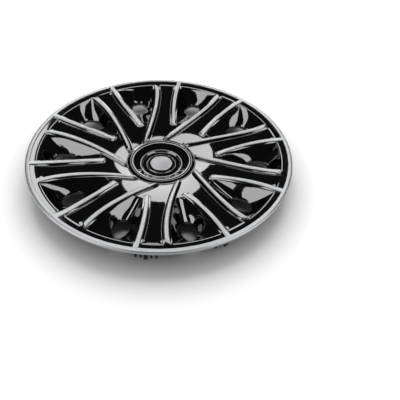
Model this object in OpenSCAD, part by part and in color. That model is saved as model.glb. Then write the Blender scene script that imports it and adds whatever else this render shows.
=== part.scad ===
// Fifteen inch wheel cover with ten twin spokes, a round centre badge and a spring wire ring.
// The wheel axis is Z and the show face looks up. Z = 0 is the edge that seats on the wheel's rim.
// Spoke pair 0 has its short spoke's outer end on the +Y axis.

/* [Rim] */
// Outside radius of the cover
cover_r = 197.5; // [196:0.5:202]
// Width of the silver rim
rim_w = 7; // [5:0.5:9]
// Height of the silver rim above the seat edge
rim_h = 4.5; // [4:0.25:7]
// Radius of the rim's rounded outer edge
edge_r = 2.2; // [1:0.1:3]
// Depth of the dark band below the silver rim, at the rim
band_drop = 2.3; // [1.5:0.1:2.6]
// Rise of the dark band from the rim to its inner edge
band_rise = 0.8; // [0.2:0.1:1]
// Width of the dark band
band_w = 9.5; // [7:0.5:12]
// Wall of the moulding
wall = 2.4; // [2:0.1:3]

/* [Dish] */
// Fall of the spoke crowns for each millimetre, at the rim
rim_slope = 0.056; // [0.04:0.002:0.08]
// Fall of the spoke crowns from the rim to the hub
hub_drop = 20; // [16:0.5:24]

/* [Spokes] */
// Number of spoke pairs
pairs = 10; // [9:1:10]
// Height of the long spokes above the dish
bar_h = 4.2; // [3:0.1:5]
// Width of a spoke at its outer end
bar_w_out = 6.6; // [5:0.1:8]
// Width of a spoke at its inner end
bar_w_in = 4.6; // [3.5:0.1:6]
// Width of the dark ledge on each side of a spoke
ledge_w = 2.4; // [1.5:0.1:3]
// Depth of the ledge below the spoke's crown, as a share of the spoke's height
ledge_share = 0.42; // [0.3:0.02:0.6]
// Radius where the long spokes start
long_in_r = 52; // [51:0.5:54]
// Length of the long spokes' tips that lies on the dark band
tip_len = 0.5; // [0.2:0.1:2]
// Radius where the short spokes start
short_in_r = 84; // [82:0.5:88]

/* [Windows] */
// Depth of a window's pocket floor below the silver rim
pocket_d = 25.5; // [22:0.5:27]
// Width of the opening in a pocket
open_w = 23; // [18:0.5:26]
// Length of the opening in a pocket
open_l = 35; // [28:0.5:38]
// Radius of the windows' inner ends
window_in_r = 93; // [91:0.5:96]
// Radius of the circle through the middles of the openings
open_pcr = 146; // [143:0.5:149]
// Angle of an opening from its short spoke
open_a = 11.8; // [11:0.1:12.5]

/* [Hub] */
// Radius of the hub ring's crest
hub_r = 45; // [43:0.5:46]
// Radius of the hub ring's foot
hub_foot_r = 54; // [52:0.5:56]
// Depth of the hub ring's crest below the silver rim
hub_d = 19.5; // [17:0.25:21]
// Inside radius of the bowl's sloping side
bowl_r = 31; // [29:0.5:34]
// Depth of the bowl's step below the silver rim
bowl_d = 25.6; // [24:0.25:27]
// Depth of the bowl's floor below the silver rim
bowl_floor_d = 28; // [27:0.25:29]
// Radius of the round pedestal
pedestal_r = 21; // [19:0.25:24]
// Height of the pedestal above the bowl's floor
pedestal_h = 1.4; // [1:0.1:2]

/* [Badge] */
// Radius of the badge
badge_r = 16.4; // [13:0.1:17.5]
// Height of the badge above the pedestal
badge_h = 0.9; // [0.5:0.1:1.5]
// Depth of the badge's seat in the pedestal
badge_seat = 1.2; // [0.8:0.1:1.3]
// Clearance round the badge
badge_gap = 0.1; // [0.05:0.05:0.3]

/* [Clips] */
// Distance from the clips' noses in to the dark band's inner edge
clip_in = 1.5; // [1:0.25:3]
// Height of a clip below the seat edge
clip_h = 36.5; // [34:0.5:40]
// Overall width of a clip
clip_w = 30; // [26:1:34]
// Angle from a short spoke to the middle of its clip
clip_a = 3; // [2:0.5:4]
// Width of the hook in the middle of a clip
hook_w = 5; // [4:0.5:7]
// Width of a clip's fins
fin_w = 2.2; // [1.8:0.1:2.6]
// Distance from the clips' noses in to the middle of the wire
wire_in = 8; // [7.5:0.25:9.5]
// Radius of the wire
wire_r = 1.5; // [1:0.1:1.8]
// Clearance round the wire in its notches
wire_gap = 0.2; // [0.1:0.05:0.4]
// Height of the wire below the seat edge
wire_h = 29; // [26:0.5:30]

/* [Hidden] */
$fn = 96;
step_a = 360 / pairs;
rim_in_r = cover_r - rim_w;
band_in_r = rim_in_r - band_w;
long_out_r = band_in_r + tip_len;
clip_r = band_in_r - clip_in;
wire_pcr = clip_r - wire_in;
crown_u = rim_in_r - hub_r;
crown_c = (hub_drop - rim_slope * crown_u) / pow(crown_u, 3);
band_z = rim_h - band_drop;
pocket_z = rim_h - pocket_d;
floor_out_r = band_in_r - 2.5;
deep = hub_drop + bar_h + 2 * wall;
pedestal_z = rim_h - bowl_floor_d + pedestal_h;
root_z = rim_h - bar_h - wall * 0.9;

// Height of the long spokes' crown at radius r
function crown_z(r) = rim_h - rim_slope * (rim_in_r - r) - crown_c * pow(max(rim_in_r - r, 0), 3);
// Height of the dish between the spokes at radius r
function dish_z(r) = crown_z(r) - bar_h;
// Height of the short spokes' crown: level with the rim outside, sinking into the dish inside
short_u = rim_in_r - short_in_r;
short_end = rim_h - dish_z(short_in_r) - 1.2;
function short_z(r) = rim_h - short_end
    * (0.29 * (rim_in_r - r) / short_u + 0.71 * pow(max(rim_in_r - r, 0) / short_u, 2.5));

// Point on a cubic curve with four control points
function bezier(p, t) = pow(1 - t, 3) * p[0] + 3 * pow(1 - t, 2) * t * p[1]
    + 3 * (1 - t) * t * t * p[2] + pow(t, 3) * p[3];
function slope(p, t) = (1 - t) * (1 - t) * (p[1] - p[0]) + 2 * (1 - t) * t * (p[2] - p[1])
    + t * t * (p[3] - p[2]);
function unit(v) = v / norm(v);
function turned(p, a) = [p[0] * cos(a) - p[1] * sin(a), p[0] * sin(a) + p[1] * cos(a)];

// Point at radius r, turned by a degrees from +Y against the clock
function polar(r, a) = r * [-sin(a), cos(a)];
// Point at a share k of the way from the first radius to the second
function between(r0, r1, k, a) = polar(r0 + (r1 - r0) * k, a);

// Middle lines of the two spokes of a pair, from the outer end to the inner end
long_line = [
    polar(long_out_r, 12.4),
    between(long_out_r, long_in_r, 0.287, 10.45),
    between(long_out_r, long_in_r, 0.671, 17),
    polar(long_in_r, 39.2)
];
short_line = [
    polar(rim_in_r + 1, 0),
    between(rim_in_r, short_in_r, 0.38, 1.4),
    between(rim_in_r, short_in_r, 0.756, -0.8),
    polar(short_in_r, -4)
];
// Point on one side of a spoke's middle line, at distance out from the spoke's edge
function beside(line, t, side, out) = let (
        d = unit(slope(line, t)),
        half = (bar_w_out + (bar_w_in - bar_w_out) * t) / 2
    )
    bezier(line, t) + side * (half + out) * [-d[1], d[0]];

// Closed smooth loop through the points, m steps between neighbours
function smooth_loop(p, m) = let (n = len(p)) [
    for (i = [0:n - 1], j = [0:m - 1])
        let (a = p[(i + n - 1) % n], b = p[i], c = p[(i + 1) % n], d = p[(i + 2) % n], t = j / m)
            0.5 * (2 * b + (c - a) * t + (2 * a - 5 * b + 4 * c - d) * t * t
                + (3 * b - a - 3 * c + d) * pow(t, 3))
];

module shell_profile() {
    dish_r = [for (i = [0:11]) floor_out_r + (hub_foot_r - floor_out_r) * i / 11];
    hub_z = rim_h - hub_d;
    bowl_z = rim_h - bowl_d;
    bowl_floor_z = rim_h - bowl_floor_d;
    top = concat(
        [[cover_r, 0], [cover_r, rim_h - edge_r]],
        [for (a = [15:15:90]) [cover_r - edge_r + edge_r * cos(a), rim_h - edge_r + edge_r * sin(a)]],
        [[rim_in_r, rim_h], [rim_in_r, band_z], [band_in_r, band_z + band_rise]],
        [for (r = dish_r) [r, dish_z(r)]],
        [[hub_r + 1.6, hub_z - 0.5], [hub_r, hub_z], [hub_r - 1.4, hub_z - 0.5],
         [bowl_r, bowl_z], [bowl_r - 1.2, bowl_z - 0.4], [bowl_r - 2.4, bowl_floor_z],
         [pedestal_r + 0.8, bowl_floor_z], [pedestal_r, pedestal_z], [0, pedestal_z]]
    );
    under = concat(
        [[0, bowl_floor_z - wall], [bowl_r - 2, bowl_floor_z - wall], [bowl_r + 0.6, bowl_z - wall],
         [hub_r, hub_z - wall - 0.6], [hub_r + 2, hub_z - wall - 0.6]],
        [for (i = [11:-1:0]) [dish_r[i], dish_z(dish_r[i]) - wall]],
        [[band_in_r + 1.6, band_z + band_rise - wall], [rim_in_r + 1.6, band_z - wall],
         [rim_in_r + 2.6, rim_h - wall], [cover_r - wall - 0.8, rim_h - wall],
         [cover_r - wall, rim_h - wall - 0.8], [cover_r - wall, 0]]
    );
    polygon(concat(top, under));
}

// Ring of the spokes' height between two radii; a share of that height is taken off its top
module crown_slab(r0, r1, short, share) {
    rr = concat([for (i = [0:8]) r0 + (floor_out_r - r0) * i / 8], [band_in_r, r1]);
    function top_z(r) = let (z = short ? short_z(r) : crown_z(r)) z - share * (z - dish_z(r));
    rotate_extrude() polygon(concat(
        [for (r = rr) [r, top_z(r)]],
        [for (i = [10:-1:0]) [rr[i], (i > 8 ? band_z : dish_z(rr[i])) - wall * 0.5]]
    ));
}

// Outline of a spoke, wider by out on each side; the wider one also runs further out
module spoke_plan(line, n, out) {
    tt = [for (i = [0:n]) i == 0 ? -out / 100 : i / n];
    polygon(concat(
        [for (i = [0:n]) beside(line, tt[i], 1, out)],
        [for (i = [n:-1:0]) beside(line, tt[i], -1, out)]
    ));
}

// One kind of spoke all round, cut from its slab
module spoke_ring(line, n, r0, r1, short, out, share) {
    intersection() {
        for (k = [0:pairs - 1]) rotate(k * step_a)
            translate([0, 0, -deep]) linear_extrude(2 * deep) spoke_plan(line, n, out);
        crown_slab(r0, r1, short, share);
    }
}

module spokes() {
    spoke_ring(long_line, 9, long_in_r - 4, long_out_r + 4, false, 0, 0);
    spoke_ring(short_line, 7, short_in_r - 4, rim_in_r + 1.2, true, 0, 0);
    // Ledges, lower and wider than the crowns, which run into the dark band
    spoke_ring(long_line, 9, hub_foot_r + 0.8, band_in_r + 1, false, ledge_w, ledge_share);
    spoke_ring(short_line, 7, short_in_r + 1, band_in_r + 1, true, ledge_w, ledge_share);
}

// Outline of a window at dish level: short spoke, band, next long spoke, round inner end
edge_out = ledge_w + 0.3;
function next_long(t) = turned(beside(long_line, t, -1, edge_out), -step_a);
window_loop = smooth_loop([
    beside(short_line, 0.86, 1, edge_out), beside(short_line, 0.62, 1, edge_out),
    beside(short_line, 0.38, 1, edge_out), beside(short_line, 0.17, 1, edge_out),
    polar(floor_out_r, -4), polar(floor_out_r, -0.23 * step_a),
    polar(floor_out_r, -0.38 * step_a), polar(floor_out_r, 17.5 - step_a),
    next_long(0.06), next_long(0.18), next_long(0.32), next_long(0.46),
    next_long(0.6), polar(window_in_r + 2, 23.4 - step_a),
    polar(window_in_r, -10.5), polar(window_in_r + 2, -7.8)
], 2);
open_mid = polar(open_pcr, -open_a);
// Outline of the opening, each point in the direction of the window's own point
function opening_point(p) = let (v = turned(p - open_mid, open_a), a = atan2(v[1] / open_l, v[0] / open_w))
    open_mid + turned([open_w / 2 * cos(a), open_l / 2 * sin(a)], -open_a);
opening_loop = [for (p = window_loop) opening_point(p)];

// Ring of the pocket at depth share t; grow pushes it outwards and lowers it by the wall
function pocket_ring(t, grow) = [
    for (i = [0:len(window_loop) - 1])
        let (
            a = window_loop[i], b = opening_loop[i],
            g = t < 1 ? 1 - pow(1 - t, 1.25) : 1,
            p = a + (b - a) * g,
            out = unit(a - open_mid),
            z0 = dish_z(min(norm(a), floor_out_r)),
            z = z0 + (pocket_z - z0) * pow(t, 0.9)
        )
            [p[0] + out[0] * grow * 0.85, p[1] + out[1] * grow * 0.85, z - grow * 0.6]
];
function flat_ring(ring, z) = [for (p = ring) [p[0], p[1], z]];

// Solid through a stack of rings with the same number of points, closed by fans to a point
// above the opening's middle at height top_z and to one in the plane of the last ring
module loft(rings, top_z) {
    n = len(rings[0]);
    m = len(rings);
    last = (m - 1) * n;
    polyhedron(
        points = concat(
            [for (r = rings, p = r) p],
            [[open_mid[0], open_mid[1], top_z], [open_mid[0], open_mid[1], rings[m - 1][0][2]]]
        ),
        faces = concat(
            [for (i = [0:n - 1]) [i, (i + 1) % n, m * n]],
            [for (k = [0:m - 2], i = [0:n - 1])
                [k * n + i, (k + 1) * n + i, (k + 1) * n + (i + 1) % n]],
            [for (k = [0:m - 2], i = [0:n - 1])
                [k * n + i, (k + 1) * n + (i + 1) % n, k * n + (i + 1) % n]],
            [for (i = [0:n - 1]) [last + (i + 1) % n, last + i, m * n + 1]]
        ),
        convexity = 6
    );
}

module pocket_body() {
    loft([
        pocket_ring(0, wall),
        pocket_ring(0.5, wall),
        flat_ring(pocket_ring(1, wall), pocket_z - wall)
    ], dish_z(open_pcr));
}

module pocket_hollow() {
    loft([
        [for (p = pocket_ring(0, 0.3)) [p[0], p[1], p[2] + 1.2]],
        pocket_ring(0.5, 0),
        flat_ring(pocket_ring(1, 0), pocket_z - wall - 1)
    ], rim_h + 5);
}

// Section of a clip's hook: a root in the dish, a stem and a nose that snaps behind the rim
module hook_section() {
    polygon([
        [clip_r - 8, root_z], [clip_r - 2, root_z], [clip_r - 3.2, -8], [clip_r - 2.8, -clip_h + 9],
        [clip_r, -clip_h + 6.5], [clip_r, -clip_h + 4], [clip_r - 3, -clip_h], [clip_r - 5, -clip_h],
        [clip_r - 5.6, -8]
    ]);
}

// Section of a clip's fin, with a notch that the wire snaps into from the inside
module fin_section() {
    difference() {
        polygon([
            [clip_r - 14, root_z], [clip_r - 3.5, root_z], [clip_r - 4, -clip_h + 3],
            [clip_r - 5.5, -clip_h + 0.6], [clip_r - 10.5, -clip_h + 0.6], [clip_r - 12, -clip_h + 4]
        ]);
        translate([wire_pcr, -wire_h]) circle(wire_r + wire_gap);
        translate([wire_pcr - 8, -wire_h - wire_r * 0.8]) square([8, wire_r * 1.6]);
    }
}

// Plate of width w, centred across the clip at x
module across(x, w) {
    translate([0, x + w / 2, 0]) rotate([90, 0, 0]) linear_extrude(w) children();
}

module clip() {
    pitch = (clip_w - fin_w) / 4;
    across(0, hook_w) hook_section();
    for (s = [-1, 1], i = [1, 2]) across(s * i * pitch, fin_w) fin_section();
    // Short web that ties the roots of the fins together
    intersection() {
        translate([clip_r - 20, -clip_w / 2, -9]) cube([30, clip_w, 9 + root_z]);
        rotate_extrude() translate([clip_r - 9.5, -10]) square([2.2, 10]);
    }
}

module cover() {
    color("#101012") {
        difference() {
            union() {
                difference() {
                    union() {
                        rotate(22) rotate_extrude() shell_profile();
                        for (k = [0:pairs - 1]) rotate(k * step_a) pocket_body();
                    }
                    for (k = [0:pairs - 1]) rotate(k * step_a) pocket_hollow();
                }
                spokes();
            }
            translate([0, 0, pedestal_z - badge_seat]) cylinder(r = badge_r + badge_gap, h = 5);
        }
        for (k = [0:pairs - 1]) rotate(k * step_a + 90 + clip_a) clip();
    }
}

module badge() {
    seat_z = pedestal_z - badge_seat;
    color("#d4d4d8") rotate_extrude() polygon([
        [0, seat_z + 0.05], [badge_r - 0.3, seat_z + 0.05], [badge_r, seat_z + 0.35],
        [badge_r, pedestal_z + badge_h - 0.3], [badge_r - 0.3, pedestal_z + badge_h],
        [badge_r - 1.4, pedestal_z + badge_h], [badge_r - 1.8, pedestal_z + badge_h - 0.4],
        [0, pedestal_z + badge_h]
    ]);
}

module retaining_ring() {
    color("#b9bcc0") translate([0, 0, -wire_h]) rotate_extrude()
        translate([wire_pcr, 0]) circle(wire_r);
}

cover();
badge();
retaining_ring();
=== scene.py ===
# %% [markdown]
# # A black and silver wheel cover
# The real object is one thin plastic moulding, 395 mm across. Its face is gloss black, and its rim
# and the crowns of its twenty spokes carry satin silver paint. A bare silver badge sits in the hub,
# and a steel wire ring lies in the clips behind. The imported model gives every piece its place:
# the wheel axis is Z, and Z = 0 is the rim's back edge. Such a face could be sculpted from a disc,
# but its curves repeat ten times and share one wall, so it is built from measured lines instead.

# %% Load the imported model
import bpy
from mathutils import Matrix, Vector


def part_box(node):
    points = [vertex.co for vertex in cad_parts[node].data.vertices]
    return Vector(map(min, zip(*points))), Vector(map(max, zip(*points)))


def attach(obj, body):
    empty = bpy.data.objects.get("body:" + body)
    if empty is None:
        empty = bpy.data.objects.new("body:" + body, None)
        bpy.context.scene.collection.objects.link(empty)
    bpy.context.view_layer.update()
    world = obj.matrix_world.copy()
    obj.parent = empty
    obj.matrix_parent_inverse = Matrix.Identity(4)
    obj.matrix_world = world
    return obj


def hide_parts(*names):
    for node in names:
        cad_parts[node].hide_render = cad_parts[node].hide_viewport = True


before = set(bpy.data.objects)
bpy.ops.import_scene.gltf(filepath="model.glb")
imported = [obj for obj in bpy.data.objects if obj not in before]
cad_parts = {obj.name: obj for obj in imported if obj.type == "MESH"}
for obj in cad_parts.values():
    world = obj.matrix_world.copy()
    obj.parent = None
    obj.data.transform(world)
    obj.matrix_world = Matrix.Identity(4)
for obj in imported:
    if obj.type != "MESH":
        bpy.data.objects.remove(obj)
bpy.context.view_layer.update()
print("nodes", list(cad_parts))

# %% [markdown]
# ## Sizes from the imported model
# Sizes below are in millimetres, as on a drawing, and become Blender's metres where a mesh is made.
# The rim's radius, the rim's top and the clips' ends could be written once more, but they are read
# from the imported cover, so the pieces made here can't drift away from it.

# %% Tools and main sizes
import math

import bmesh
import bpy
import numpy as np
from mathutils import Matrix, Vector

MM = 0.001
low, high = (np.array(corner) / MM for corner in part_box("cover"))
rim_r = round(float(high[0]), 1)
rim_top = float(high[2])
clip_foot = float(low[2])
print(f"cover: radius {rim_r} mm, rim top {rim_top:.1f} mm, clips down to {clip_foot:.1f} mm")

# %% [markdown]
# ## The camera
# The photograph looks down on the cover at about 45 degrees from in front of it, with a slightly
# tilted horizon. A camera could be aimed at the cover by a constraint. Its place, its turn and its
# focal length were solved from the round rim and the spokes, so they are set as they are, and the
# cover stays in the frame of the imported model.

# %% Camera
camera_place = (0.1028, -0.5765, 0.4856)
camera_turn = (44.97, -2.58, 6.52)
bpy.ops.object.camera_add(location=camera_place, rotation=[math.radians(a) for a in camera_turn])
camera = bpy.context.object
camera.data.sensor_width = 36
camera.data.lens = 45.1
bpy.context.scene.camera = camera
bpy.context.scene.view_settings.view_transform = "Standard"
print("camera", [round(c, 3) for c in camera.location])

# %% [markdown]
# ## Surfaces written as maths
# Every visible surface of the face is a height over the wheel's plane. The crowns of the long
# spokes follow one curve from the rim down to the hub, the short spokes sink faster, and the dish
# lies a spoke's height lower. Each could be drawn as a curve object. Written as functions of the
# radius, they let every piece below read the same curve, as the moulds of the real part do.

# %% Crowns of the spokes
rim_in = rim_r - 7  # inner edge of the silver rim
hub_r, hub_foot = 45, 54  # crest of the hub ring, and the end of its slope
spoke_h = 4.2  # long crowns over the dish
short_in, short_end_h = 84, 1.2  # inner end of the short spokes, and its height over the dish
crown_slope, crown_drop = 0.056, 20  # slope at the rim, and drop from there to the hub
crown_cubic = (crown_drop - crown_slope * (rim_in - hub_r)) / (rim_in - hub_r) ** 3
even, late, late_power = 0.29, 0.71, 2.5  # shares of the short crowns' drop, and how late


def crown(r):
    """Long crowns: nearly straight at the rim, and falling faster towards the hub."""
    u = np.maximum(rim_in - r, 0)
    return rim_top - crown_slope * u - crown_cubic * u ** 3


def short_crown(r):
    """Short crowns: one share of the drop is even, and the other comes near the inner end."""
    u = np.clip(rim_in - r, 0, 110) / (rim_in - short_in)
    drop = rim_top - (crown(short_in) - spoke_h) - short_end_h
    return rim_top - drop * (even * u + late * u ** late_power)


print("long crown at the hub", round(float(crown(hub_r)), 2),
      "short crown's end", round(float(short_crown(short_in)), 2))

# %% Band, dish and hub slope
band_in = rim_in - 9.5  # inner edge of the dark band beside the rim
band_step, band_lean = 1.5, 0.085  # depth under the rim's top, and slope down to the inside
hub_top = rim_top - 19.5
hub_slope_start, hub_slope = (hub_r + 1.9, 0.7), 0.42  # radius, depth under the crest; slope


def band(r):
    """Dark band, which leans in so that it mirrors the dark part of the room."""
    return rim_top - band_step - band_lean * (rim_in - r)


def smooth(t):
    """0 to 1 with a soft start and end."""
    t = np.clip(t, 0, 1)
    return t * t * (3 - 2 * t)


def soft_max(a, b, blend):
    """The higher of two heights, rounded where they cross."""
    return 0.5 * (a + b + np.sqrt((a - b) ** 2 + blend ** 2))


def dish(r):
    """Floor between the spokes, rising to the hub ring inside its foot."""
    start_r, depth = hub_slope_start
    hub_side = hub_top - depth - hub_slope * np.maximum(r - start_r, 0)
    return soft_max(crown(r) - spoke_h, hub_side, 0.2)


print("dish at the hub's foot", round(float(dish(hub_foot)), 2),
      "inner edge of the band", round(float(band(band_in)), 2))

# %% [markdown]
# ## The spokes' middle lines
# A spoke pair swirls outwards: the long spoke runs from the hub to a pointed tip on the dark band,
# and the short one flows into the rim. Each middle line could be a Bezier object. It is a cubic
# curve with four points here too, but read as an angle at a radius, so that a ring of points round
# the wheel knows where it is.

# %% Middle lines
def polar(r, a):
    """Point at radius r, a degrees round from +Y."""
    return r * np.array([-math.sin(math.radians(a)), math.cos(math.radians(a))])


def curve_angles(points):
    """Radii and angles along the cubic curve with four control points."""
    t = np.linspace(-0.08, 1.05, 240)[:, None]
    p = [np.array(q) for q in points]
    line = ((1 - t) ** 3 * p[0] + 3 * (1 - t) ** 2 * t * p[1]
            + 3 * (1 - t) * t ** 2 * p[2] + t ** 3 * p[3])
    r = np.hypot(line[:, 0], line[:, 1])
    a = np.arctan2(-line[:, 0], line[:, 1])
    order = np.argsort(r)
    return r[order], a[order]


sector = math.radians(36)
long_out, long_in = band_in + 0.6, 52
long_line = curve_angles([polar(long_out, 12.4), polar(144.3, 10.45),
                          polar(94.6, 17), polar(long_in, 39.2)])
short_line = curve_angles([polar(rim_in + 1, 0), polar(150, 1.4),
                           polar(110, -0.8), polar(short_in, -4)])
follow = 0.85  # share of the long spokes' bend that the short lines keep inside their end


def long_angle(r):
    return np.interp(r, *long_line)


def short_angle(r):
    """Inside the short spoke's end, the line goes on beside the long spokes."""
    bend = long_angle(np.minimum(r, short_in)) - long_angle(short_in)
    return np.interp(np.maximum(r, short_in), *short_line) + follow * bend


print("long spoke from", round(math.degrees(long_angle(long_in)), 1), "to",
      round(math.degrees(long_angle(long_out)), 1), "degrees")

# %% Width of the silver
inner_w, extra_w, neck = 4.6, 2.0, 11  # width at the hub, more of it at the tip, narrowed length


def across(angle, r):
    """How much longer a cut along the ring is than one square to the spoke."""
    step = r * (angle(r + 1) - angle(r - 1)) / 2
    return np.sqrt(1 + step ** 2)


def width(r):
    taper = 1 - 0.55 * np.clip((long_in + neck - r) / neck, 0, 1) ** 1.5
    return taper * (inner_w + extra_w * np.clip((r - long_in) / (long_out - long_in), 0, 1))


print("silver", [round(float(width(r)), 2) for r in (long_in, 100, long_out)], "mm wide")

# %% [markdown]
# ## Laying out one tenth of the face
# The face repeats ten times, so one sector of 36 degrees is modelled. A flat grid is added, and
# each of its columns is given a job: a foot, a wall, a ledge, the silver's edge or the silver's
# crown of a spoke, or a share of the floor between two spokes. Moving the grid's points to those
# places keeps every edge of the moulding on one clean line of edges, which a sculpted or cut mesh
# can't.

# %% Columns of the sector
ledge_w = 2.5
# Each column of half a spoke: share of the silver's half width, distance out from there,
# share of the ledge's height over the floor, share of the crown's height over the ledge
half_section = [
    (1, ledge_w + 0.9, 0.0, 0), (1, ledge_w + 0.45, 0.06, 0), (1, ledge_w + 0.2, 0.35, 0),
    (1, ledge_w + 0.05, 0.62, 0), (1, ledge_w - 0.12, 0.7, 0), (1, ledge_w - 0.4, 0.74, 0),
    (1, 0.4, 1, 0), (1, 0.12, 1, 0.12), (1, -0.02, 1, 0.62), (1, -0.30, 1, 0.90),
    (0.5, 0, 1, 1.08), (0, 0, 1, 1.14),
]
mirrored = half_section[-2::-1]
vent_edge = 4  # the column of half_section at which a vent starts
trough_n, pocket_n = 8, 9
columns = ([("long", 1) + q for q in half_section[vent_edge + 1:]]
           + [("long", -1) + q for q in mirrored]
           + [("trough", (i + 1) / (trough_n + 1)) for i in range(trough_n)]
           + [("short", 1) + q for q in half_section] + [("short", -1) + q for q in mirrored]
           + [("pocket", (i + 1) / (pocket_n + 1)) for i in range(pocket_n)]
           + [("next", 1) + q for q in half_section[:vent_edge + 2]])
print(len(columns), "columns")

# %% Rows of the sector
window_in, window_out = 91.0, band_in + 0.4
# The rows lie closer together where the surface turns: at the hub, the spokes' ends and the tips
rows = np.concatenate([
    np.linspace(47.6, 55, 9)[:-1], np.linspace(55, 79, 13)[:-1],
    np.linspace(79, window_in, 15)[:-1], np.linspace(window_in, 171, 34)[:-1],
    np.linspace(171, window_out, 13)[:-1], np.linspace(window_out, 187, 8)[:-1],
    [187, 188.8, rim_in - 0.5, rim_in - 0.1],
])
# The step up to the rim: distance out from its inner edge, share of the way up
rim_step = [(0.05, 0.4), (0.18, 0.8), (0.45, 0.95), (1.0, 0.99), (2.8, 1.0), (4.6, 0.96)]
# The rim's outer side and underside: distance out from its radius, height
rim_edge = [(-1.35, 4.2), (-0.75, 3.75), (-0.3, 3.1), (-0.1, 2.4), (-0.45, 2.15), (-0.45, 1.9),
            (-0.02, 1.7), (-0.02, 0.35), (-0.3, 0.05), (-0.9, 0), (-2.1, 0), (-2.4, 0.35),
            (-2.4, 1.6), (-4.2, 2.0)]
print(len(rows) + len(rim_step) + len(rim_edge), "rows")

# %% [markdown]
# ## Heights of the ledges and the troughs
# A black ledge runs along both sides of each spoke's silver, and dips a little before it meets the
# band. The floor of a trough ends at the band in a short wall with rounded corners. Both could be
# bevels, but a bevel has one width, and here the rounding changes along the spoke.

# %% Ledges and troughs
ledge_depth = 1.6  # ledges under the crowns
dip, dip_from = 0.17, 160  # extra depth of the ledges at the band, and where it starts
lift, lift_from, lift_to = 1.5, 150, 180  # rise of a trough's floor towards its outer end
roll_depth, roll_r, roll_w = 0.7, 184, 3  # rounding at the top of the trough's end wall
wall_start, wall_w = 3, 3.2  # place and width of the end wall's slope
corner_r = 4.5  # of a trough's outer end
no_corner = 9.0  # a distance from the ledge at which that rounding has ended


def web(r):
    """Black surface that the silver stands on: the ledges, and the band at the rim."""
    ledge = crown(r) - ledge_depth - dip * smooth((r - dip_from) / (band_in - dip_from))
    return np.where(r < band_in, ledge, band(r))


def trough_floor(r, d):
    """Floor between two spokes, with its end wall, at distance d from the nearer ledge."""
    inset = np.clip(corner_r - d, 0, corner_r)
    end = band_in - (corner_r - np.sqrt(np.maximum(corner_r ** 2 - inset ** 2, 0)))
    roll = roll_depth * np.clip((roll_r - r) / roll_w, 0, 1) ** 2
    floor = dish(r) + lift * np.clip((r - lift_from) / (lift_to - lift_from), 0, 1) ** 1.5
    return floor + (web(r) - roll - floor) * smooth((r - end + wall_start) / wall_w)


print("ledge over the trough at 120 mm", round(float(web(120) - trough_floor(120, no_corner)), 2))

# %% [markdown]
# ## The points of a spoke
# From its foot to its middle, a spoke rises over a wall to the ledge and over a small step to its
# silver crown. The long spokes' tips are slanted. A boolean cut could slant them, but it would
# break the lines of edges, so the rows of points lean there and follow the slant.

# %% Place of a spoke's points
tip_r, tip_slant = band_in - 2.4, 1.05
lean_from, lean_to = 166, 187  # radii between which the rows lean
short_rise, long_rise, tip_rise = 1.6, 1.8, 1.3  # lengths over which the silver rises
bulge_w = 12  # length over which the crowns flatten towards the rim


def spoke_point(kind, side, share, out, ledge_share, crown_share, row):
    """Radius, angle and height of one column of a spoke at each row."""
    short = kind == "short"
    angle = short_angle if short else long_angle
    reach = side * (share * width(row) / 2 + out)
    r = row.copy()
    if not short:
        lean = tip_slant * reach * np.clip(1 - (out - 0.5) / 1.5, 0, 1)
        near_tip = np.minimum((row - lean_from) / (tip_r - 1 - lean_from),
                              (lean_to - row) / (lean_to - tip_r))
        r = row + lean * np.clip(near_tip, 0, 1)
    a = angle(r) + reach * across(angle, r) / r - (sector if kind == "next" else 0)
    beside_trough = side > 0 if short else side < 0
    floor = trough_floor(r, 0.0 if beside_trough else no_corner)
    if short:
        top = short_crown(r)
        ledge = top - np.minimum(ledge_depth, 0.55 * np.maximum(top - dish(r), 0))
        tall = smooth((row - short_in) / short_rise)
        low_end = smooth((row - short_in - 0.5) / 4)
    else:
        top = crown(r)
        ledge = web(r)
        tall = smooth((row - long_in) / long_rise) * smooth((tip_r + 0.6 - row) / tip_rise)
        low_end = smooth((row - long_in + 0.5) / 5)
    ledge = np.where(r > band_in, web(r), ledge)
    z = floor + ledge_share * low_end * (ledge - floor)
    bulge = max(crown_share - 1, 0) * np.clip((rim_in - 2 - r) / bulge_w, 0, 1)
    z = z + (min(crown_share, 1) + bulge) * tall * np.maximum(top - z, 0)
    return r, a, z


print("short spoke's middle at 120 mm:",
      [round(float(v), 2) for v in spoke_point("short", 1, 0, 0, 1, 1.14, np.array(120.0))])

# %% [markdown]
# ## The points of the whole sector
# The columns between two spokes share the way from the last point of one to the first of the next,
# and the rows of the rim are plain circles. A modifier could fill these gaps, but then the columns
# of neighbouring sectors wouldn't meet point on point.

# %% Every point of the sector
def columns_named(kinds, name):
    """Numbers of the columns of one kind."""
    return [j for j, column in enumerate(kinds) if column[0] == name]


def on_rings(rr, aa, zz):
    """Points from radii, angles from +Y and heights."""
    return np.stack([-rr * np.sin(aa), rr * np.cos(aa), zz], 2)


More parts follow.
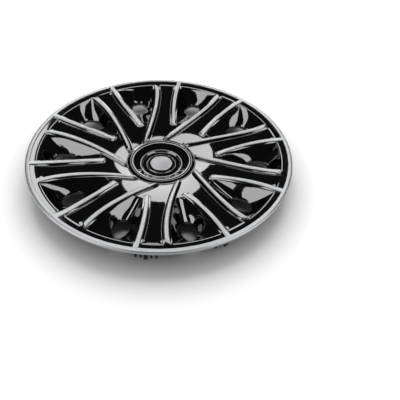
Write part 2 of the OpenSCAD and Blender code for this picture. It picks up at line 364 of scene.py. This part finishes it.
def sector_points():
    n = len(columns)
    rr, aa, zz = (np.zeros((len(rows), n)) for _ in range(3))
    for j, column in enumerate(columns):
        if column[0] not in ("trough", "pocket"):
            rr[:, j], aa[:, j], zz[:, j] = spoke_point(*column, rows)
    for name in ("trough", "pocket"):
        js = columns_named(columns, name)
        first, last = js[0] - 1, js[-1] + 1
        for j in js:
            share = columns[j][1]
            rr[:, j] = rr[:, first] + (rr[:, last] - rr[:, first]) * share
            aa[:, j] = aa[:, first] + (aa[:, last] - aa[:, first]) * share
            wide = np.abs(aa[:, last] - aa[:, first]) * rows
            zz[:, j] = trough_floor(rr[:, j], np.minimum(share, 1 - share) * wide + 1.2)
    foot = zz[-1]
    rings = [(rim_in + d, foot + share * (rim_top - foot)) for d, share in rim_step]
    rings += [(rim_r + d, np.full(n, z)) for d, z in rim_edge]
    for r, z in rings:
        rr = np.vstack([rr, np.full(n, r)])
        aa = np.vstack([aa, aa[-1]])
        zz = np.vstack([zz, z])
    return on_rings(rr, aa, zz)


grid = sector_points()
heights = grid[..., 2]
print("sector heights", round(float(heights.min()), 2), "to", round(float(heights.max()), 2))

# %% [markdown]
# ## The sector's mesh
# The grid primitive gives the right number of squares, and its points are then moved. The squares
# over a vent are deleted in edit mode. That leaves a loop of open edges, which is extruded again
# and again, each time placed a step further down the pocket. A boolean could cut the vents too, but
# it leaves ragged triangles that spoil the gloss.

# %% Helpers for selecting and placing
def new_start():
    if bpy.context.mode != "OBJECT":
        bpy.ops.object.mode_set(mode="OBJECT")
    bpy.ops.object.select_all(action="DESELECT")


def edit(piece):
    bpy.context.view_layer.objects.active = piece
    bpy.ops.object.mode_set(mode="EDIT")
    return bmesh.from_edit_mesh(piece.data)


def place_points(piece, points):
    piece.data.vertices.foreach_set("co", (np.asarray(points) * MM).ravel())
    piece.data.update()


def select_only(bm, edges=(), faces=()):
    bpy.ops.mesh.select_all(action="DESELECT")
    for part in list(edges) + list(faces):
        part.select_set(True)
    bm.select_flush_mode()


def shade_all_smooth(piece):
    for polygon in piece.data.polygons:
        polygon.use_smooth = True


print("helpers for selecting and placing ready")

# %% Helpers for a loop of open edges
def block_loop(points, block):
    """Points round a block of the grid."""
    i0, i1, j0, j1 = block
    return np.concatenate([points[i0:i1, j0], points[i1, j0:j1],
                           points[i1:i0:-1, j1], points[i0, j1:j0:-1]])


def nearest(ring, co):
    """Number of the ring's point that lies at co, or -1."""
    gap = np.abs(ring - np.array(co) / MM).max(axis=1)
    return int(gap.argmin()) if gap.min() < 0.005 else -1


def extrude_loop(piece, ring, target):
    """Extrudes the open edges on the points of ring, and moves the new points to target."""
    bm = bmesh.from_edit_mesh(piece.data)
    on = {v for v in bm.verts if v.is_boundary and nearest(ring, v.co) >= 0}
    select_only(bm, edges=[e for e in bm.edges if e.is_boundary and on.issuperset(e.verts)])
    bpy.ops.mesh.extrude_region_move()
    bm = bmesh.from_edit_mesh(piece.data)
    for v in [v for v in bm.verts if v.select]:
        v.co = Vector(target[nearest(ring, v.co)] * MM)
    bmesh.update_edit_mesh(piece.data)


print("helpers for loops ready")

# %% A sector, ten times
def make_sector(name, points, block, ring_list, paint=None):
    """Grid through the points, with a hole at block whose edge runs through the rings."""
    new_start()
    tall, wide = points.shape[:2]
    bpy.ops.mesh.primitive_grid_add(x_subdivisions=wide - 1, y_subdivisions=tall - 1, size=1)
    piece = bpy.context.object
    piece.name = name
    place_points(piece, points.reshape(-1, 3))
    bm = edit(piece)
    bm.faces.ensure_lookup_table()
    if paint:
        for i in range(tall - 1):
            for j in range(wide - 1):
                bm.faces[i * (wide - 1) + j].material_index = int(paint(i, j))
    i0, i1, j0, j1 = block
    bpy.ops.mesh.select_mode(type="FACE")
    select_only(bm, faces=[bm.faces[i * (wide - 1) + j]
                           for i in range(i0, i1) for j in range(j0, j1)])
    bpy.ops.mesh.delete(type="FACE")
    bpy.ops.mesh.select_mode(type="EDGE")
    for ring, target in zip(ring_list, ring_list[1:]):
        extrude_loop(piece, ring, target)
    ten_times()
    bpy.ops.mesh.select_all(action="SELECT")
    bpy.ops.mesh.remove_doubles(threshold=0.00002)
    bpy.ops.mesh.normals_make_consistent(inside=False)
    bpy.ops.object.mode_set(mode="OBJECT")
    shade_all_smooth(piece)
    print(name, len(piece.data.polygons), "faces")
    return piece


def ten_times():
    """Copies all that is in edit mode nine more times round the wheel axis."""
    bpy.ops.mesh.select_all(action="SELECT")
    bpy.ops.mesh.spin(steps=9, dupli=True, angle=9 * sector, center=(0, 0, 0), axis=(0, 0, 1))


print("helper for a sector ready")

# %% [markdown]
# ## The pocket of a vent
# Between a short spoke and the next long one, the face falls away into a pocket with an oval hole
# at its bottom, which lets cooling air through. Curves and a surface between them could make it.
# Here the window's own loop of edges is moved towards the oval step by step: over a rounded lip,
# down a dished wall, and last through a short straight tube.

# %% Rings of a pocket
open_mid = np.append(polar(146, -11.8), rim_top - 25.5)  # middle of the oval
open_half = np.array([11.5, 17.5])  # half its width and half its length
open_turn = math.radians(11.8)
narrow_r = 112  # inside this radius the window's pointed end is rounded more
# Share of the way to the oval, sideways and downwards, of each ring of the wall
pocket_steps = [(0.0, 0.012), (0.012, 0.045), (0.05, 0.1), (0.15, 0.21), (0.3, 0.36), (0.45, 0.51),
                (0.6, 0.65), (0.75, 0.78), (0.88, 0.9), (1.0, 1.0)]


def relaxed(loop, times, mask=None):
    """Loop whose points move towards their neighbours, all or only where mask is true."""
    for _ in range(times):
        mean = 0.25 * np.roll(loop, 1, 0) + 0.5 * loop + 0.25 * np.roll(loop, -1, 0)
        loop = mean if mask is None else np.where(mask[:, None], mean, loop)
    return loop


def opening_loop(outline, wall):
    """The oval's point in the direction of each point of the outline."""
    cos, sin = math.cos(open_turn), math.sin(open_turn)
    turn = np.array([[cos, -sin], [sin, cos]])
    v = (outline[:, :2] - open_mid[:2]) @ turn.T
    half = open_half + wall
    a = np.arctan2(v[:, 1] / half[1], v[:, 0] / half[0])
    oval = np.stack([half[0] * np.cos(a), half[1] * np.sin(a)], 1) @ turn
    return np.column_stack([oval + open_mid[:2], np.full(len(outline), open_mid[2] - 0.6 * wall)])


def pocket_rings(loop, wall=0.0):
    """Rings from under the lip down to the end of the tube; wall is the distance behind it."""
    outline = relaxed(relaxed(loop, 8), 30, np.hypot(loop[:, 0], loop[:, 1]) < narrow_r)
    opening = opening_loop(outline, wall)
    mouth = opening + np.array([0, 0, 2.0])
    tube_end = opening_loop(outline, 0)
    tube_end[:, 2] = open_mid[2] - 2.4
    wall_rings = [outline + (mouth - outline) * np.array([g, g, h]) for g, h in pocket_steps]
    return wall_rings + [opening, tube_end]


print("oval opening", 2 * open_half, "mm at height", round(float(open_mid[2]), 1))

# %% The window of a vent
def row_at(radii, r):
    return int(np.argmin(np.abs(radii - r)))


window = (row_at(rows, window_in), row_at(rows, window_out),
          columns.index(("short", -1) + half_section[vent_edge]), len(columns) - 2)
window_loop = block_loop(grid, window)
rings = [window_loop] + pocket_rings(window_loop)
print("vent loop of", len(window_loop), "points,", len(rings), "rings")

# %% [markdown]
# ## Where the silver paint is
# The rim and the crowns of the spokes are painted through a mask on the real part, so the paint
# ends on the moulding's own edges. A mask in the material could show it. Here each square of the
# grid gets the black or the silver slot, because the grid has a line of edges wherever paint ends.

# %% Painted squares
rim_bare = 6  # last squares of the grid, at the rim's underside


def is_silver(i, j):
    """Paint on the square between rows i, i + 1 and columns j, j + 1."""
    if i >= len(rows):
        return i < len(grid) - rim_bare
    pair = columns[j], columns[j + 1]
    if any(c[0] in ("trough", "pocket") or c[5] < 0.6 for c in pair):
        return False
    middle = (rows[i] + rows[min(i + 1, len(rows) - 1)]) / 2
    if pair[0][0] == "short":
        return middle > short_in + 0.5
    return long_in + 0.5 < middle < tip_r + 0.1


print(sum(is_silver(i, j) for i in range(len(grid) - 1) for j in range(len(columns) - 1)),
      "painted squares")

# %% [markdown]
# ## The face
# All the parts of a sector are ready, and the face is made in one call. Blender can make the
# normals of a closed solid point outwards, but an open shell has no outside, so they can come out
# to either side. The faces round the hub are looked at, and if they point the wrong way, all the
# faces are turned.

# %% The face
check_r, check_w = 60, 4  # distance from the middle at which the normals are looked at


def turn_faces(piece, side):
    """Turns an open shell's faces up where side is 1, and down where it is -1."""
    looked_at = [p for p in piece.data.polygons
                 if abs(p.center.length / MM - check_r) < check_w]
    if side * sum(p.normal.z for p in looked_at) < 0:
        piece.data.flip_normals()
    print(piece.name, "faces up" if looked_at[0].normal.z > 0 else "faces down")


face = make_sector("cover_face", grid, window, rings, is_silver)
turn_faces(face, 1)

# %% [markdown]
# ## The hub
# The hub is turned round the wheel axis: a ring with a rounded crest, a sloping bowl, a narrow
# step, a flat floor and a low pedestal with a recess for the badge. A screw modifier on a drawn
# line could turn it. A circle that is extruded, scaled and lifted from one point of the profile to
# the next shows each step, and the last points run back along the underside to close the wall.

# %% A helper that turns a profile
def lathe(name, profile, steps, closed=True):
    """Rings of steps points through the (radius, height) points of a profile.

    A closed profile ends where it starts. The last ring of an open one is filled to the axis.
    """
    new_start()
    r0, z0 = profile[0]
    bpy.ops.mesh.primitive_circle_add(vertices=steps, radius=r0 * MM, location=(0, 0, z0 * MM))
    piece = bpy.context.object
    piece.name = name
    bpy.ops.object.transform_apply(location=True)
    edit(piece)
    bpy.ops.mesh.select_all(action="SELECT")
    for (ra, za), (rb, zb) in zip(profile, profile[1:]):
        bpy.ops.mesh.extrude_edges_move()
        bpy.ops.transform.resize(value=(rb / ra, rb / ra, 1), center_override=(0, 0, za * MM))
        bpy.ops.transform.translate(value=(0, 0, (zb - za) * MM))
    if not closed:
        bpy.ops.mesh.edge_face_add()
        bpy.ops.mesh.inset(thickness=profile[-1][0] * MM * 0.5)
        bpy.ops.mesh.merge(type="CENTER")
    bpy.ops.mesh.select_all(action="SELECT")
    bpy.ops.mesh.remove_doubles(threshold=0.000005)
    bpy.ops.mesh.normals_make_consistent(inside=False)
    bpy.ops.object.mode_set(mode="OBJECT")
    shade_all_smooth(piece)
    print(name, len(piece.data.polygons), "faces")
    return piece


print("helper for turned pieces ready")

# %% Hub, bowl and pedestal
wall = 2.4
hub_out = 48.6
bowl_step, bowl_floor = rim_top - 25.6, rim_top - 28
pedestal = bowl_floor + 1.4
seat_r = 16.5  # of the badge's recess


def at_dish(r, below):
    return r, float(dish(r)) - below


foot_line = [at_dish(hub_out, 0.03), at_dish(47.7, 0), at_dish(47.45, 0)]
# Radius and depth under the hub's top, in small even turns that carry two bright lines
crest_line = [
    (47.3, 0.5), (47.2, 0.24), (46.95, 0.165), (46.7, 0.105), (46.4, 0.055), (46.1, 0.02),
    (45.85, 0), (45.6, 0), (45.4, 0.01), (45.0, 0.047), (44.6, 0.094), (44.2, 0.15),
    (43.9, 0.2), (43.6, 0.268), (43.2, 0.367), (42.8, 0.478), (42.4, 0.603), (42.1, 0.706),
    (41.9, 0.81), (41.6, 0.98), (38, 2.87), (34.5, 4.69), (32.2, 5.87),
]
bowl_line = [
    (31.7, bowl_step + 0.12), (31.1, bowl_step), (30.5, bowl_step - 0.1),
    (30.1, bowl_step - 0.5), (29.3, bowl_floor + 0.7), (28.9, bowl_floor + 0.25),
    (28.3, bowl_floor), (22.3, bowl_floor + 0.45), (21.8, bowl_floor + 0.5),
    (21.5, bowl_floor + 0.65), (21.2, pedestal - 0.35), (20.9, pedestal - 0.08),
    (20.5, pedestal), (seat_r + 0.25, pedestal), (seat_r, pedestal - 0.12),
    (seat_r, pedestal - 1.2), (2, pedestal - 1.2),
]
under_line = [
    (2, bowl_floor - wall), (28.5, bowl_floor - wall), (31.5, bowl_step - 2.3),
    (42, hub_top - 4.4), (46, hub_top - 3.1), at_dish(hub_out, wall),
]
hub_profile = foot_line + [(r, hub_top - depth) for r, depth in crest_line] + bowl_line + under_line
hub = lathe("cover_hub", hub_profile + hub_profile[:1], 180)

# %% [markdown]
# ## The badge
# A plain disc stands in the pedestal's recess, with a small bevel at its edge, a raised lip and a
# slightly crowned middle. A bevelled cylinder would be near, but it has no lip, so the disc is
# turned from a profile as well.

# %% Badge
badge_low, badge_top = pedestal - 1.15, pedestal + 0.9
# Radius and depth under the badge's top
badge_face = [(16.4, 0.35), (16.3, 0.12), (16.05, 0), (15.1, 0), (14.9, 0.06), (14.7, 0.36),
              (14.5, 0.42), (10, 0.28), (5, 0.1), (1.5, 0.04)]
badge = lathe("badge_disc", [(15.9, badge_low), (16.3, badge_low + 0.3)]
              + [(r, badge_top - depth) for r, depth in badge_face], 96, closed=False)
bm = edit(badge)
select_only(bm, edges=[e for e in bm.edges if e.is_boundary])
bpy.ops.mesh.edge_face_add()
bpy.ops.mesh.select_all(action="SELECT")
bpy.ops.mesh.normals_make_consistent(inside=False)
bpy.ops.object.mode_set(mode="OBJECT")
print("badge top", round(max(v.co.z for v in badge.data.vertices) / MM, 2))

# %% [markdown]
# ## The back of the moulding
# Injection moulding keeps the wall even, so the back follows the front one wall lower, without the
# spokes. A Solidify modifier on the face would carry every step of the spokes to the back. So the
# back is made in the same way as the face, from a coarser grid that only keeps the edges of the
# vents, whose outer walls lean down to the same openings. It is the wheel's side of the moulding,
# so its faces are turned down.

# %% Columns and rows of the back
foot, middle = half_section[0], half_section[-1]
back_columns = ([("long", 1) + middle, ("long", -1) + foot]
                + [("trough", q) for q in (0.33, 0.67)]
                + [("short", 1) + foot, ("short", 1) + middle, ("short", -1) + foot]
                + [("pocket", q) for q in (0.17, 0.33, 0.5, 0.67, 0.83)]
                + [("next", 1) + foot, ("next", 1) + middle])
back_window = (88, 184)
back_rows = np.concatenate([[hub_out], np.linspace(53, back_window[0], 8)[:-1],
                            np.linspace(*back_window, 25)[:-1],
                            [back_window[1], 187, 190.4, 191.2, 193.3]])
print(len(back_columns), "columns,", len(back_rows), "rows")

# %% Back skin
def back_height(r):
    z = np.where(r > band_in + 1.6, band(r), dish(r)) - wall
    return np.where(r > 190.8, 2.0, z)


def back_points():
    n = len(back_columns)
    aa = np.zeros((len(back_rows), n))
    for j, column in enumerate(back_columns):
        if column[0] not in ("trough", "pocket"):
            aa[:, j] = spoke_point(*column, back_rows)[1]
    for name in ("trough", "pocket"):
        js = columns_named(back_columns, name)
        for j in js:
            share = back_columns[j][1]
            aa[:, j] = aa[:, js[0] - 1] * (1 - share) + aa[:, js[-1] + 1] * share
    rr = np.repeat(back_rows[:, None], n, 1)
    return on_rings(rr, aa, back_height(rr))


back_grid = back_points()
pocket_columns = columns_named(back_columns, "pocket")
back_block = (*(row_at(back_rows, r) for r in back_window),
              pocket_columns[0] - 1, pocket_columns[-1] + 1)
back_loop = block_loop(back_grid, back_block)
# The thin back needs no rounded lip, so the first two rings are left out
back = make_sector("cover_back", back_grid, back_block,
                   [back_loop] + pocket_rings(back_loop, wall)[2:])
turn_faces(back, -1)

# %% [markdown]
# ## The clips
# Ten clips stand on the back. Each has a springy hook in the middle, whose nose grips the wheel,
# and two stiff fins on each side with a notch for the wire ring. A block could be cut to shape, but
# the outline is what matters: a filled circle gets a corner for each point of it, the corners are
# placed, and the flat shape is pulled to its width and bevelled.

# %% Plates with an outline
def plate(name, outline, x, thick, bevel):
    """Plate across the clip at x, from an outline of (radius, height) points."""
    new_start()
    bpy.ops.mesh.primitive_circle_add(vertices=len(outline), radius=0.01, fill_type="NGON")
    piece = bpy.context.object
    piece.name = name
    place_points(piece, [(r, x - thick / 2, z) for r, z in outline])
    edit(piece)
    bpy.ops.mesh.select_all(action="SELECT")
    bpy.ops.mesh.extrude_region_move(TRANSFORM_OT_translate={"value": (0, thick * MM, 0)})
    bpy.ops.mesh.select_all(action="SELECT")
    bpy.ops.mesh.normals_make_consistent(inside=False)
    bpy.ops.object.mode_set(mode="OBJECT")
    rounding = piece.modifiers.new("edges", "BEVEL")
    rounding.width, rounding.segments, rounding.limit_method = bevel * MM, 2, "ANGLE"
    bpy.ops.object.modifier_apply(modifier="edges")
    return piece


print("helper for plates ready")

# %% Outlines of a clip
clip_out = band_in - 1.5  # the nose's reach
wire_pcr, wire_z, notch_r = clip_out - 8, -29.0, 1.75
clip_root = rim_top - spoke_h - wall * 0.9  # inside the moulding's wall
hook_foot, fin_foot = clip_foot + 0.01, clip_foot + 0.6
# Distance out from the nose's reach, height
hook_line = [(-8, clip_root), (-2, clip_root), (-3.2, -8), (-2.8, clip_foot + 9),
             (0, clip_foot + 6.5), (0, clip_foot + 4), (-3, hook_foot), (-5, hook_foot), (-5.6, -8)]
fin_out = [(-14, clip_root), (-3.5, clip_root), (-4, clip_foot + 3), (-5.5, fin_foot),
           (-10.5, fin_foot), (-11.4, wire_z - 1.28)]
fin_in = [(-12.1, wire_z + 1.28)]


def from_nose(line):
    return [(clip_out + d, z) for d, z in line]


def fin_line(x):
    """Outline of the fin at x; a round wire lies nearer to the axis at the outer fins."""
    notch_at = math.sqrt(wire_pcr ** 2 - x ** 2)
    notch = [(notch_at + notch_r * math.cos(t), wire_z + notch_r * math.sin(t))
             for t in np.radians(range(-133, 134, 19))]
    return from_nose(fin_out) + notch + from_nose(fin_in)


print("hook of", len(hook_line), "points, fin of", len(fin_line(0)))

# %% Ten clips
clip_turn = math.radians(90 + 3)  # from +X, where the plates are drawn, to 3 degrees past +Y
hook_w, hook_bevel, fin_w, fin_bevel = 5, 0.35, 2.2, 0.2
fin_places = (-13.9, -6.95, 6.95, 13.9)
parts = [plate("hook", from_nose(hook_line), 0, hook_w, hook_bevel)]
parts += [plate("fin", fin_line(x), x, fin_w, fin_bevel) for x in fin_places]
new_start()
for part in parts:
    part.select_set(True)
bpy.context.view_layer.objects.active = parts[0]
bpy.ops.object.join()
clips = bpy.context.object
clips.name = "cover_clips"
bm = edit(clips)
bmesh.ops.rotate(bm, verts=bm.verts, cent=(0, 0, 0), matrix=Matrix.Rotation(clip_turn, 3, "Z"))
bmesh.update_edit_mesh(clips.data)
ten_times()
bpy.ops.object.mode_set(mode="OBJECT")
print("clips", len(clips.data.polygons), "faces")

# %% [markdown]
# ## Materials as sums
# A finish is a few noises and masks, added and multiplied. The nodes could be placed by hand in the
# shader editor. A small class wraps a node's output instead, so that sums written as Python become
# Math nodes, and each finish can be read as a formula for its colour, roughness and bump.

# %% A class for shader sums
class Value:
    """Output of a node; + and * on it add Math nodes."""

    def __init__(self, tree, socket):
        self.tree, self.socket = tree, socket

    def combine(self, kind, a, b):
        return self.tree.add("ShaderNodeMath", {"operation": kind}, {0: a, 1: b})

    def __add__(self, other): return self.combine("ADD", self, other)
    def __radd__(self, other): return self.combine("ADD", other, self)
    def __mul__(self, other): return self.combine("MULTIPLY", self, other)
    def __rmul__(self, other): return self.combine("MULTIPLY", other, self)


class Tree:
    """Nodes of a material or of the world."""

    def __init__(self, owner):
        owner.use_nodes = True
        self.nodes, self.links = owner.node_tree.nodes, owner.node_tree.links

    def add(self, kind, settings, sockets, output=0):
        """Makes any node: its type, its settings, its sockets' values or links, the output used."""
        node = self.nodes.new(kind)
        for name, value in settings.items():
            setattr(node, name, value)
        for name, value in sockets.items():
            if isinstance(value, Value):
                self.links.new(value.socket, node.inputs[name])
            else:
                node.inputs[name].default_value = value
        return Value(self, node.outputs[output])


print("shader sums ready")

# %% A class for a finish
class Finish(Tree):
    """A material with one Principled shader, whose constants are set on its own sockets."""

    def __init__(self, name, **constants):
        self.material = bpy.data.materials.new(name)
        super().__init__(self.material)
        self.shader = next(n for n in self.nodes if n.type == "BSDF_PRINCIPLED")
        for socket, value in constants.items():
            self.shader.inputs[socket.replace("_", " ")].default_value = value
        self.place = self.add("ShaderNodeTexCoord", {}, {}, "Object")

    def noise(self, scale, detail=2.0):
        return self.add("ShaderNodeTexNoise", {},
                        {"Vector": self.place, "Scale": scale, "Detail": detail})

    def ramp(self, value, low, high):
        """0 below low, 1 above high and a soft rise between them."""
        return self.add("ShaderNodeMapRange", {"interpolation_type": "SMOOTHSTEP"},
                        {0: value, 1: low, 2: high})

    def from_axis(self):
        return self.add("ShaderNodeVectorMath", {"operation": "LENGTH"}, {0: self.place}, "Value")

    def mix(self, mask, a, b):
        """Colour a where the mask is 0, and b where it is 1."""
        return self.add("ShaderNodeMix", {"data_type": "RGBA"},
                        {0: mask, 6: (*a, 1), 7: (*b, 1)}, 2)

    def feed(self, **values):
        for name, value in values.items():
            self.links.new(value.socket, self.shader.inputs[name.replace("_", " ")])

    def bump(self, height, distance, strength):
        self.feed(Normal=self.add("ShaderNodeBump", {}, {"Height": height, "Distance": distance,
                                                         "Strength": strength}))


print("helper for finishes ready")

# %% [markdown]
# ## Gloss black moulding
# The dish comes out of a polished mould: nearly a black mirror, with a slow waviness from shrinking
# plastic, a faint haze and a few specks of dust. Low roughness alone would look like glass, so a
# slow noise varies it, a fine one makes the specks, and a shallow bump bends the reflections.

# %% Gloss black moulding
black = Finish("gloss_black_plastic", IOR=1.75, Coat_Weight=1.0, Coat_IOR=1.65, Coat_Roughness=0.02)
dust = black.ramp(black.noise(900, 3.0), 0.62, 0.75)
haze = black.noise(22, 3.0)
black.feed(Base_Color=black.mix(dust, (0.0025, 0.0025, 0.003), (0.012, 0.012, 0.013)),
           Roughness=0.03 + 0.03 * haze + 0.1 * dust)
black.bump(black.noise(160), 0.00002, 0.6)
print(black.material.name)

# %% [markdown]
# ## Silver paint
# The rim and the crowns carry sprayed silver: fine metal flakes in a satin lacquer, a little
# cloudy where the coat is thicker. A plain metal would mirror too sharply. A partly metallic
# shader with a thin coat keeps the soft shine, and a very fine noise stands for the flakes.

# %% Silver paint
silver = Finish("satin_silver_paint", Metallic=0.75, IOR=1.5, Coat_Weight=0.25, Coat_Roughness=0.1)
flake = silver.noise(2600, 1.0)
cloud = silver.noise(35, 3.0)
silver.feed(Base_Color=silver.mix(cloud, (0.50, 0.51, 0.52), (0.57, 0.58, 0.59)),
            Roughness=0.33 + 0.08 * cloud + 0.08 * flake)
silver.bump(flake, 0.00001, 0.5)
print(silver.material.name)

# %% [markdown]
# ## Satin badge
# The badge is a turned metal disc, a little brighter than the paint. Its turning lines are circles
# round the axis. An image could show them, but a noise along one number, the distance from the
# axis, gives the same rings at any size.

# %% Satin badge
satin = Finish("satin_badge_silver", Metallic=0.8, IOR=1.5, Coat_Weight=0.3, Coat_Roughness=0.08)
turned = satin.add("ShaderNodeTexNoise", {"noise_dimensions": "1D"},
                   {"W": satin.from_axis(), "Scale": 9000.0, "Detail": 1.0})
smear = satin.noise(60, 3.0)
satin.feed(Base_Color=satin.mix(smear, (0.55, 0.55, 0.58), (0.64, 0.64, 0.67)),
           Roughness=0.24 + 0.1 * turned + 0.08 * smear)
satin.bump(turned, 0.00001, 0.4)
print(satin.material.name)

# %% [markdown]
# ## Drawn steel of the wire ring
# The ring's solid already has the right shape, so it stays and only gets a finish. Spring wire is
# bright steel with fine lines from drawing and a little dull tarnish. The noise is pressed flat
# along the axis, so that its lines run round with the wire.

# %% Drawn steel
drawn = Finish("drawn_spring_steel", Metallic=1.0)
pressed = drawn.add("ShaderNodeVectorMath", {"operation": "MULTIPLY"},
                    {0: drawn.place, 1: (1.0, 1.0, 9.0)})
draw_lines = drawn.add("ShaderNodeTexNoise", {}, {"Vector": pressed, "Scale": 700.0, "Detail": 3.0})
tarnish = drawn.noise(45, 3.0)
drawn.feed(Base_Color=drawn.mix(tarnish, (0.42, 0.42, 0.43), (0.56, 0.56, 0.57)),
           Roughness=0.25 + 0.15 * draw_lines + 0.15 * drawn.ramp(tarnish, 0.5, 0.7))
drawn.bump(draw_lines, 0.00002, 0.5)
wire = bpy.data.objects["retaining_ring"]
for material_slot in wire.material_slots:
    material_slot.material = drawn.material
print(drawn.material.name, "on", wire.name)

# %% [markdown]
# ## Back of the moulding
# Nobody sees the back, so its mould isn't polished: the same black plastic has a fine grain there
# and slow flow marks. It could share the gloss finish, but then the clips seen from the side would
# shine as the face does.

# %% Unpolished back
plain = Finish("unpolished_black_plastic", IOR=1.5)
grain = plain.noise(1400, 3.0)
flow = plain.noise(18, 3.0)
plain.feed(Base_Color=plain.mix(flow, (0.010, 0.010, 0.011), (0.018, 0.018, 0.019)),
           Roughness=0.34 + 0.12 * grain + 0.08 * flow)
plain.bump(grain, 0.00004, 0.6)
print(plain.material.name)

# %% [markdown]
# ## Finishes and soft shading
# Each piece gets its finish, and its faces are shaded as one smooth skin that breaks only at sharp
# edges. On a moulding with small roundings, plain smooth shading smears every highlight over the
# large faces beside them. The Weighted Normal modifier lets the large faces keep their own
# direction and leaves the turn to the narrow ones.

# %% Finishes on the pieces
def soft_shading(piece, sharp_from):
    """Smooth skin with edges sharper than the angle, led by the large faces."""
    new_start()
    piece.select_set(True)
    bpy.context.view_layer.objects.active = piece
    bpy.ops.object.shade_smooth_by_angle(angle=math.radians(sharp_from))
    weighted = piece.modifiers.new("weighted", "WEIGHTED_NORMAL")
    weighted.keep_sharp = True
    weighted.weight = 90
    bpy.ops.object.modifier_apply(modifier="weighted")


for piece, finishes, sharp_from in ((face, (black, silver), 48), (hub, (black,), 40),
                                    (back, (plain,), 40), (clips, (plain,), 40),
                                    (badge, (satin,), 40)):
    for finish in finishes:
        piece.data.materials.append(finish.material)
    soft_shading(piece, sharp_from)
    print(piece.name, [material.name for material in piece.data.materials])

# %% [markdown]
# ## The pieces join the frame
# The face, the hub, the back and the clips together stand for the moulding, and the disc stands for
# the badge. The solids they replace stay for the physics. Nothing on a wheel cover moves, so every
# piece rides on the one body.

# %% Pieces in the frame
for piece in (face, hub, back, clips):
    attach(piece, "root")
    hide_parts("cover")
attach(badge, "root")
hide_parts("badge")
print("pieces on the frame:", [piece.name for piece in (face, hub, back, clips, badge)])

# %% [markdown]
# ## The floor
# The cover stands on a pale matt floor that runs on to the horizon, as in a studio. More light
# would turn it white, but the cover as well. So the floor glows only where the camera sees it,
# directly or in gloss. Close under the cover the glow fades out in a disc: painted shade, laid
# over the cover's real shadow there.

# %% Floor
new_start()
bpy.ops.mesh.primitive_plane_add(size=12, location=(0, 0, clip_foot * MM))
floor = bpy.context.object
floor.name = "studio_floor"
pale = Finish("pale_floor", Roughness=0.9, Emission_Strength=0.75)
camera_ray, glossy_ray, through_ray = (
    pale.add("ShaderNodeLightPath", {}, {}, ray)
    for ray in ("Is Camera Ray", "Is Glossy Ray", "Is Transmission Ray"))
# Painted shade: no glow within 0.15 m of the axis, rising to full glow at 0.26 m
glow_outside_painted_shade = pale.ramp(pale.from_axis(), 0.15, 0.26)
pale.feed(Base_Color=pale.mix(pale.noise(3), (0.84, 0.84, 0.84), (0.87, 0.87, 0.87)),
          Emission_Color=pale.mix((camera_ray + glossy_ray + through_ray) * glow_outside_painted_shade,
                                  (0, 0, 0), (1, 1, 1)))
floor.data.materials.append(pale.material)
print(floor.name, "at", round(clip_foot, 1), "mm")

# %% [markdown]
# ## The lamps
# Gloss black shows nothing but what it mirrors, so the lamps are shaped by the reflections in the
# dish: soft panels round a dark middle, high behind the cover. One bent lamp could do it, but four
# flat panels are easy to place. Two wide panels in front light the near sides of the vents and the
# silver's edges. They show in gloss only, so they don't wash out the floor's shadow.

# %% A helper for a soft panel
def panel(name, az, el, roll, far, right, up, wide, tall, bright):
    """Soft lamp whose middle is right and up of the direction az clockwise from +Y and el high.

    The offsets and sizes are shares of its distance far, so that moving it keeps its reflection.
    """
    az, el, roll = (math.radians(a) for a in (az, el, roll))
    out = Vector((math.sin(az) * math.cos(el), math.cos(az) * math.cos(el), math.sin(el)))
    flat = Vector((math.cos(az), -math.sin(az), 0))
    side = flat * math.cos(roll) + flat.cross(out) * math.sin(roll)
    rise = flat.cross(out) * math.cos(roll) - flat * math.sin(roll)
    bpy.ops.object.light_add(type="AREA", location=(out + side * right + rise * up) * far)
    lamp = bpy.context.object
    lamp.name = name
    lamp.data.shape = "RECTANGLE"
    lamp.data.size, lamp.data.size_y = wide * far, tall * far
    lamp.data.energy = bright * wide * tall * far ** 2 * math.pi
    lamp.rotation_euler = Matrix((-side, rise, out)).transposed().to_euler()
    return lamp


print("helper for panels ready")

# %% Lamps
middle_w, middle_h, bar_w, bar_h = 0.325, 0.688, 0.16, 0.33  # dark middle, and the bars round it
back_at = (-7.6, 46.6, -7.8, 6)  # direction, height, roll and distance in metres
across_at, up_at = (middle_w + bar_w) / 2, (middle_h + bar_h) / 2
side_h = middle_h + 2 * bar_h
glow = 3.5
softbox = [panel("softbox_left", *back_at, -across_at, 0, bar_w, side_h, glow),
           panel("softbox_right", *back_at, across_at, 0, bar_w, side_h, glow),
           panel("softbox_top", *back_at, 0, up_at, middle_w, bar_h, glow),
           panel("softbox_low", *back_at, 0, -up_at, middle_w, bar_h, 0.8 * glow)]
front_far, front_glow = 2.6, 2.9
front = [panel("front_left", 236, 31, 0, front_far, 0, 0, 0.86, 0.8, front_glow),
         panel("front_right", 110, 30, 0, front_far, 0, 0, 0.74, 0.74, front_glow)]
for lamp in front:
    lamp.visible_diffuse = False
print("lamps", [lamp.name for lamp in softbox + front])

# %% [markdown]
# ## The room
# Behind the floor the picture is white, while the cover must mirror a dark room. One world colour
# can't do both. The Light Path node tells a look by the camera, which gets full white, from all
# other rays, which get almost nothing.

# %% Room
room_light = 0.02
world = bpy.context.scene.world or bpy.data.worlds.new("World")
bpy.context.scene.world = world
room = Tree(world)
background = room.nodes["Background"]
background.inputs["Color"].default_value = (1, 1, 1, 1)
seen = room.add("ShaderNodeLightPath", {}, {}, "Is Camera Ray")
strength = room.add("ShaderNodeMapRange", {}, {"Value": seen, "To Min": room_light})
room.links.new(strength.socket, background.inputs["Strength"])
print("room light", room_light)
